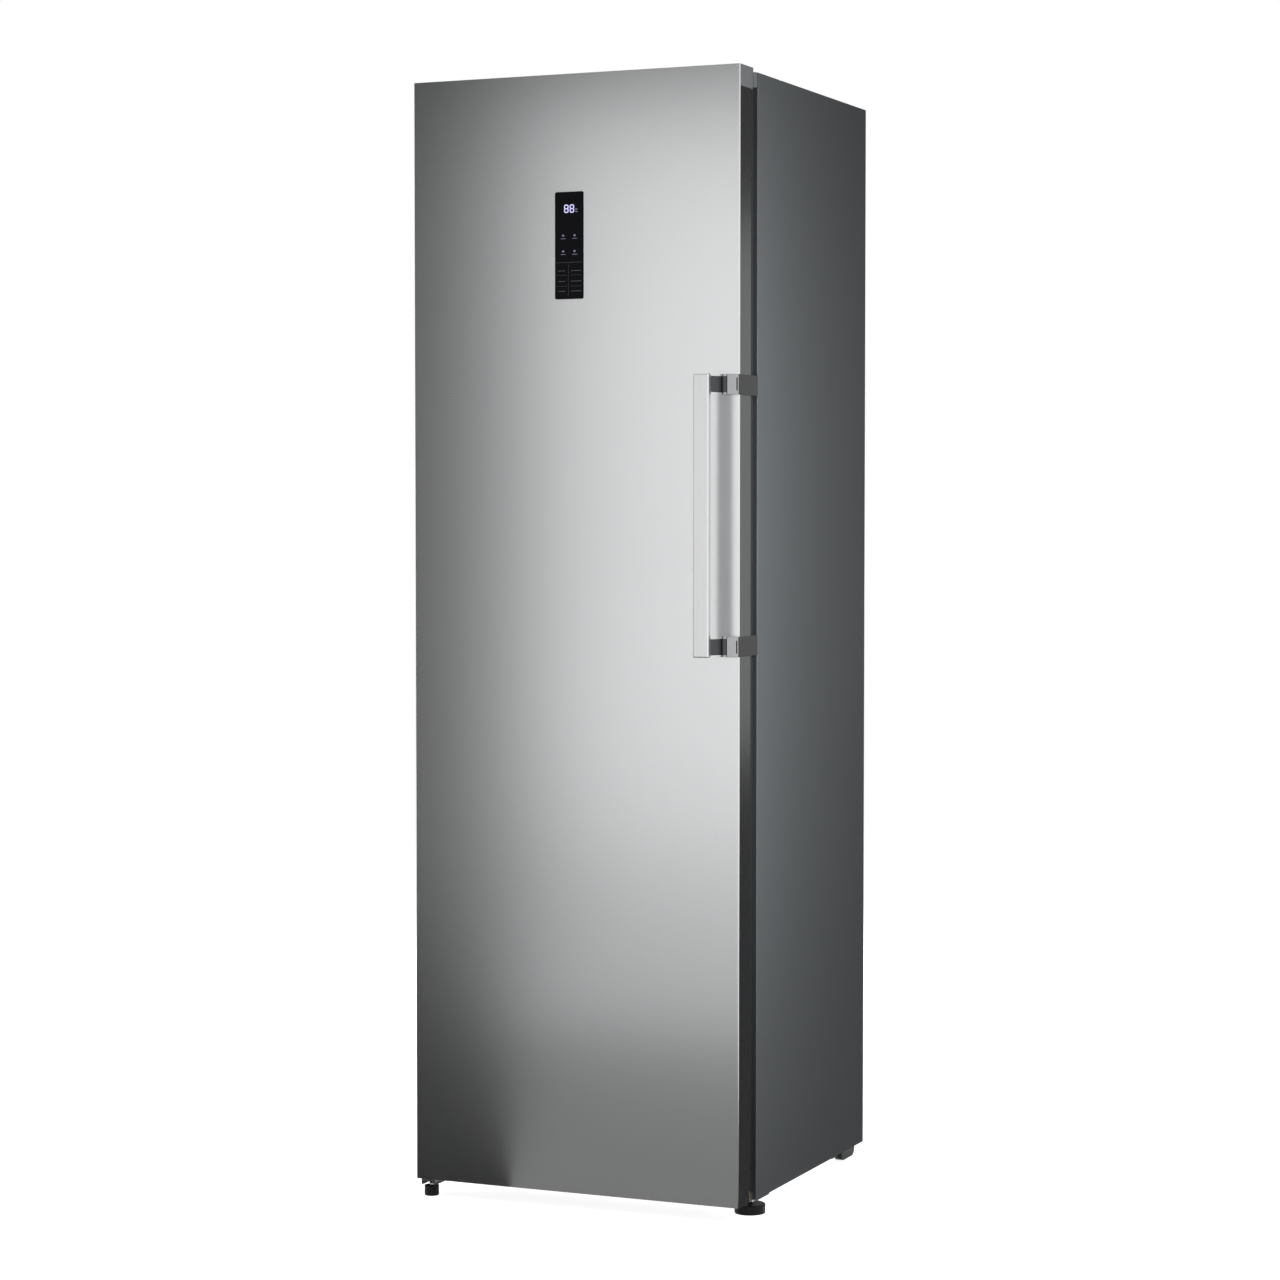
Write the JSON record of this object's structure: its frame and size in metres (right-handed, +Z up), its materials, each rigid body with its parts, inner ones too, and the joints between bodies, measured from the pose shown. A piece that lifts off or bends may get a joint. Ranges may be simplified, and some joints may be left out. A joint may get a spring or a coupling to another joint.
{
  "type": "upright freezer",
  "caption": "Tall free-standing single-door freezer with a lever handle that pushes the seal open, glass shelves, clear drawers and a cold-air fan.",
  "frame": {"origin": "on the floor under the middle of the whole object's plan, handle included", "axes": "+X towards the handle side of the door, -Y towards the front, +Z up"},
  "size_m": [0.599, 0.667, 1.898],
  "materials": {
    "aluminium_bar": "satin",
    "black_coil": "satin",
    "black_glass": "gloss",
    "black_plastic": "matte",
    "brushed_steel_front": "satin",
    "circuit_board": "satin",
    "clear_drawer": "gloss",
    "coil_aluminium": "satin",
    "compressor_black": "satin",
    "copper_line": "satin",
    "dark_cast_metal": "satin",
    "foam": "matte",
    "gasket_rubber": "matte",
    "grey_plastic": "matte",
    "lens": "satin",
    "painted_side": "satin",
    "rubber_mount": "matte",
    "shelf_glass": "gloss",
    "shelf_trim": "satin",
    "spring_steel": "polished",
    "white_liner": "satin",
    "zinc_steel": "satin"
  },
  "bodies": {
    "cabinet": {"side_panel_left": "painted_side", "side_panel_right": "painted_side", "top_panel": "painted_side", "top_front_cover": "grey_plastic", "back_panel": "zinc_steel", "base_panel": "zinc_steel", "base_crossmember": "painted_side", "compressor_deck": "zinc_steel", "rear_cover": "zinc_steel", "cabinet_foam": "foam", "inner_liner": "white_liner", "glass_shelves": "shelf_glass", "shelf_trims": "shelf_trim", "lamp_lens": "lens", "air_duct_cover": "white_liner", "evaporator": "coil_aluminium", "defrost_heater": "spring_steel", "fan_motor": "black_plastic", "drain_tube": "black_plastic", "compressor": "compressor_black", "compressor_grommets": "rubber_mount", "drip_tray": "black_plastic", "condenser": "black_coil", "refrigerant_lines": "copper_line", "control_box": "black_plastic", "power_inlet": "black_plastic", "top_hinge_bracket": "zinc_steel", "top_hinge_cover": "grey_plastic", "bottom_hinge_bracket": "zinc_steel", "hinge_pins": "spring_steel", "cabinet_screws": "zinc_steel", "foot_bracket_right": "zinc_steel", "roller_housings": "black_plastic"},
    "door": {"door_skin": "brushed_steel_front", "door_top_cap": "grey_plastic", "door_bottom_cap": "grey_plastic", "door_foam": "foam", "door_liner": "white_liner", "door_gasket": "gasket_rubber", "hinge_bushes": "white_liner", "display_glass": "black_glass", "display_board": "circuit_board", "handle_clamps": "dark_cast_metal", "handle_pins": "spring_steel", "handle_springs": "spring_steel"},
    "handle": {"handle_bar": "aluminium_bar", "handle_arms": "dark_cast_metal"},
    "pusher_lower": {"pusher_lower": "black_plastic"},
    "pusher_upper": {"pusher_upper": "black_plastic"},
    "drawer_1": {"drawer_1": "clear_drawer"},
    "drawer_2": {"drawer_2": "clear_drawer"},
    "drawer_3": {"drawer_3": "clear_drawer"},
    "drawer_4": {"drawer_4": "clear_drawer"},
    "drawer_5": {"drawer_5": "clear_drawer"},
    "drawer_6": {"drawer_6": "clear_drawer"},
    "fan_impeller": {"fan_impeller": "black_plastic"},
    "foot_left": {"foot_left": "black_plastic"},
    "foot_right": {"foot_right": "black_plastic"},
    "roller_left": {"roller_left": "black_plastic"},
    "roller_right": {"roller_right": "black_plastic"}
  },
  "joints": [
    {"name": "door_hinge", "type": "hinge", "parent": "cabinet", "child": "door", "pos_m": [-0.2805, -0.2555, 0.931], "axis": [0, 0, -1], "range_deg": [0, 110]},
    {"name": "handle_lever", "type": "hinge", "parent": "door", "child": "handle", "pos_m": [0.275, -0.2865, 1.167], "axis": [0, 0, 1], "range_deg": [0, 14], "stiffness_Nm_per_rad": 8},
    {"name": "pusher_lower_slide", "type": "slide", "parent": "door", "child": "pusher_lower", "axis": [0, 1, 0], "range_m": [0, 0.0044]},
    {"name": "pusher_upper_slide", "type": "slide", "parent": "door", "child": "pusher_upper", "axis": [0, 1, 0], "range_m": [0, 0.0044]},
    {"name": "drawer_1_slide", "type": "slide", "parent": "cabinet", "child": "drawer_1", "axis": [0, -1, 0], "range_m": [0, 0.044]},
    {"name": "drawer_2_slide", "type": "slide", "parent": "cabinet", "child": "drawer_2", "axis": [0, -1, 0], "range_m": [0, 0.044]},
    {"name": "drawer_3_slide", "type": "slide", "parent": "cabinet", "child": "drawer_3", "axis": [0, -1, 0], "range_m": [0, 0.044]},
    {"name": "drawer_4_slide", "type": "slide", "parent": "cabinet", "child": "drawer_4", "axis": [0, -1, 0], "range_m": [0, 0.044]},
    {"name": "drawer_5_slide", "type": "slide", "parent": "cabinet", "child": "drawer_5", "axis": [0, -1, 0], "range_m": [0, 0.044]},
    {"name": "drawer_6_slide", "type": "slide", "parent": "cabinet", "child": "drawer_6", "axis": [0, -1, 0], "range_m": [0, 0.044]},
    {"name": "fan_spin", "type": "hinge", "parent": "cabinet", "child": "fan_impeller", "pos_m": [-0.002, 0.2432, 1.685], "axis": [0, 1, 0], "continuous": true},
    {"name": "foot_left_level", "type": "slide", "parent": "cabinet", "child": "foot_left", "axis": [0, 0, -1], "range_m": [0, 0.01]},
    {"name": "foot_right_level", "type": "slide", "parent": "cabinet", "child": "foot_right", "axis": [0, 0, -1], "range_m": [0, 0.01]},
    {"name": "roller_left_spin", "type": "hinge", "parent": "cabinet", "child": "roller_left", "pos_m": [-0.2675, 0.299, 0.013], "axis": [1, 0, 0], "continuous": true},
    {"name": "roller_right_spin", "type": "hinge", "parent": "cabinet", "child": "roller_right", "pos_m": [0.2635, 0.299, 0.013], "axis": [1, 0, 0], "continuous": true}
  ],
  "couplings": [
    {"joint": "pusher_lower_slide", "follows": "handle_lever", "m_per_rad": 0.0172},
    {"joint": "pusher_upper_slide", "follows": "handle_lever", "m_per_rad": 0.0172}
  ]
}
